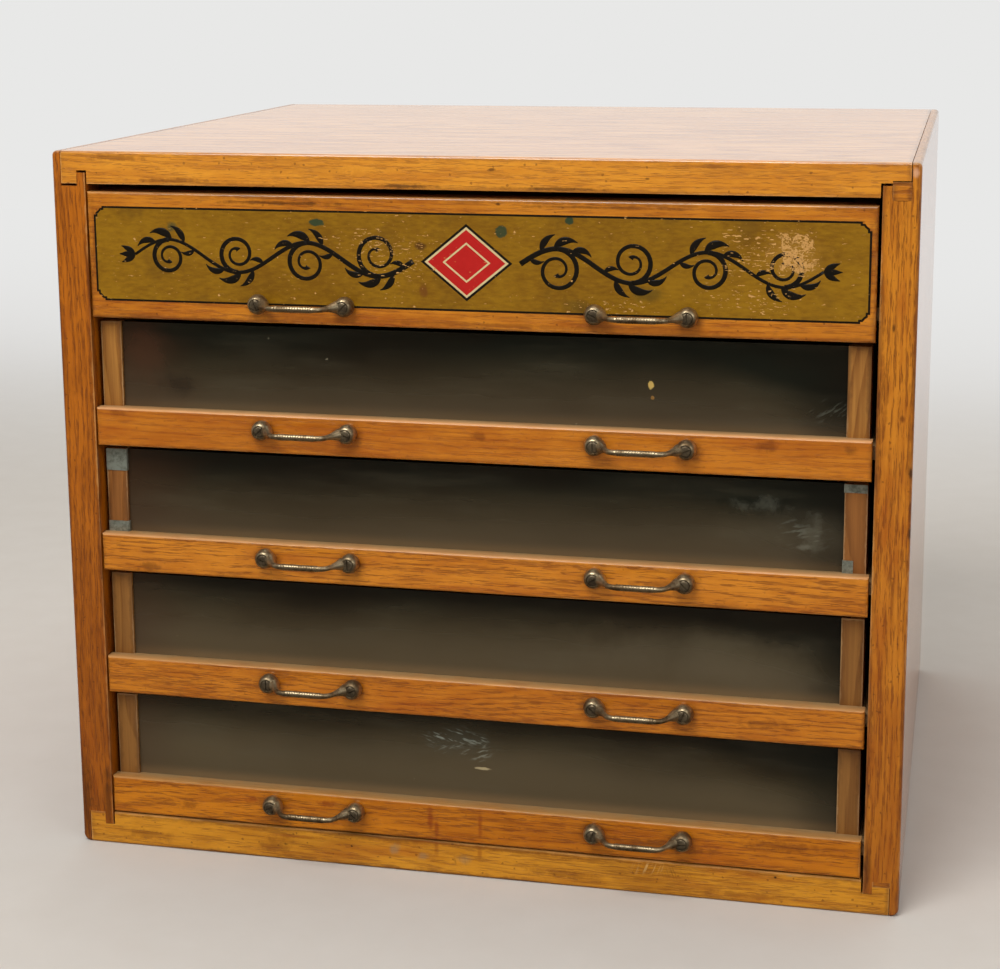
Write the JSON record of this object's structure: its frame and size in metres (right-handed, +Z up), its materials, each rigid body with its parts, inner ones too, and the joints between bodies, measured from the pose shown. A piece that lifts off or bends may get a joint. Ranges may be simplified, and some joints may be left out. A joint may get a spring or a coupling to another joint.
{
  "type": "spool cabinet",
  "caption": "Square oak spool cabinet with locked corner joints, a solid-fronted top drawer, glass-fronted drawers below it and small arched metal pulls.",
  "frame": {"origin": "centre of the case's underside", "axes": "+Z up, -Y towards the front where the drawers open, +X to the right seen from the front"},
  "size_m": [0.5462, 0.4913, 0.4699],
  "materials": {
    "oak": "gloss",
    "plain_wood": "matte",
    "glass": "gloss",
    "pull_metal": "worn",
    "screw_steel": "worn",
    "tin": "satin"
  },
  "bodies": {
    "case": {"back_board_left": "plain_wood", "back_board_middle": "plain_wood", "back_board_right": "plain_wood", "case_bottom": "oak", "case_side_left": "oak", "case_side_right": "oak", "case_top": "oak", "joint_fillers": "oak", "runners_1": "plain_wood", "runners_2": "plain_wood", "runners_3": "plain_wood", "runners_4": "plain_wood", "runners_5": "plain_wood"},
    "drawer_1": {"drawer_1_back": "plain_wood", "drawer_1_bottom": "plain_wood", "drawer_1_front": "oak", "drawer_1_pull_left": "pull_metal", "drawer_1_pull_right": "pull_metal", "drawer_1_pull_screws": "screw_steel", "drawer_1_side_left": "plain_wood", "drawer_1_side_right": "plain_wood"},
    "drawer_2": {"drawer_2_back": "plain_wood", "drawer_2_bottom": "plain_wood", "drawer_2_glass": "glass", "drawer_2_pull_left": "pull_metal", "drawer_2_pull_right": "pull_metal", "drawer_2_pull_screws": "screw_steel", "drawer_2_rail": "oak", "drawer_2_side_left": "plain_wood", "drawer_2_side_right": "plain_wood"},
    "drawer_3": {"drawer_3_back": "plain_wood", "drawer_3_bottom": "plain_wood", "drawer_3_glass": "glass", "drawer_3_glass_clips": "tin", "drawer_3_pull_left": "pull_metal", "drawer_3_pull_right": "pull_metal", "drawer_3_pull_screws": "screw_steel", "drawer_3_rail": "oak", "drawer_3_side_left": "plain_wood", "drawer_3_side_right": "plain_wood"},
    "drawer_4": {"drawer_4_back": "plain_wood", "drawer_4_bottom": "plain_wood", "drawer_4_glass": "glass", "drawer_4_pull_left": "pull_metal", "drawer_4_pull_right": "pull_metal", "drawer_4_pull_screws": "screw_steel", "drawer_4_rail": "oak", "drawer_4_side_left": "plain_wood", "drawer_4_side_right": "plain_wood"},
    "drawer_5": {"drawer_5_back": "plain_wood", "drawer_5_bottom": "plain_wood", "drawer_5_glass": "glass", "drawer_5_pull_left": "pull_metal", "drawer_5_pull_right": "pull_metal", "drawer_5_pull_screws": "screw_steel", "drawer_5_rail": "oak", "drawer_5_side_left": "plain_wood", "drawer_5_side_right": "plain_wood"}
  },
  "joints": [
    {"name": "drawer_1_slide", "type": "slide", "parent": "case", "child": "drawer_1", "axis": [0, -1, 0], "range_m": [0, 0.33]},
    {"name": "drawer_2_slide", "type": "slide", "parent": "case", "child": "drawer_2", "axis": [0, -1, 0], "range_m": [0, 0.33]},
    {"name": "drawer_3_slide", "type": "slide", "parent": "case", "child": "drawer_3", "axis": [0, -1, 0], "range_m": [0, 0.33]},
    {"name": "drawer_4_slide", "type": "slide", "parent": "case", "child": "drawer_4", "axis": [0, -1, 0], "range_m": [0, 0.33]},
    {"name": "drawer_5_slide", "type": "slide", "parent": "case", "child": "drawer_5", "axis": [0, -1, 0], "range_m": [0, 0.33]}
  ]
}
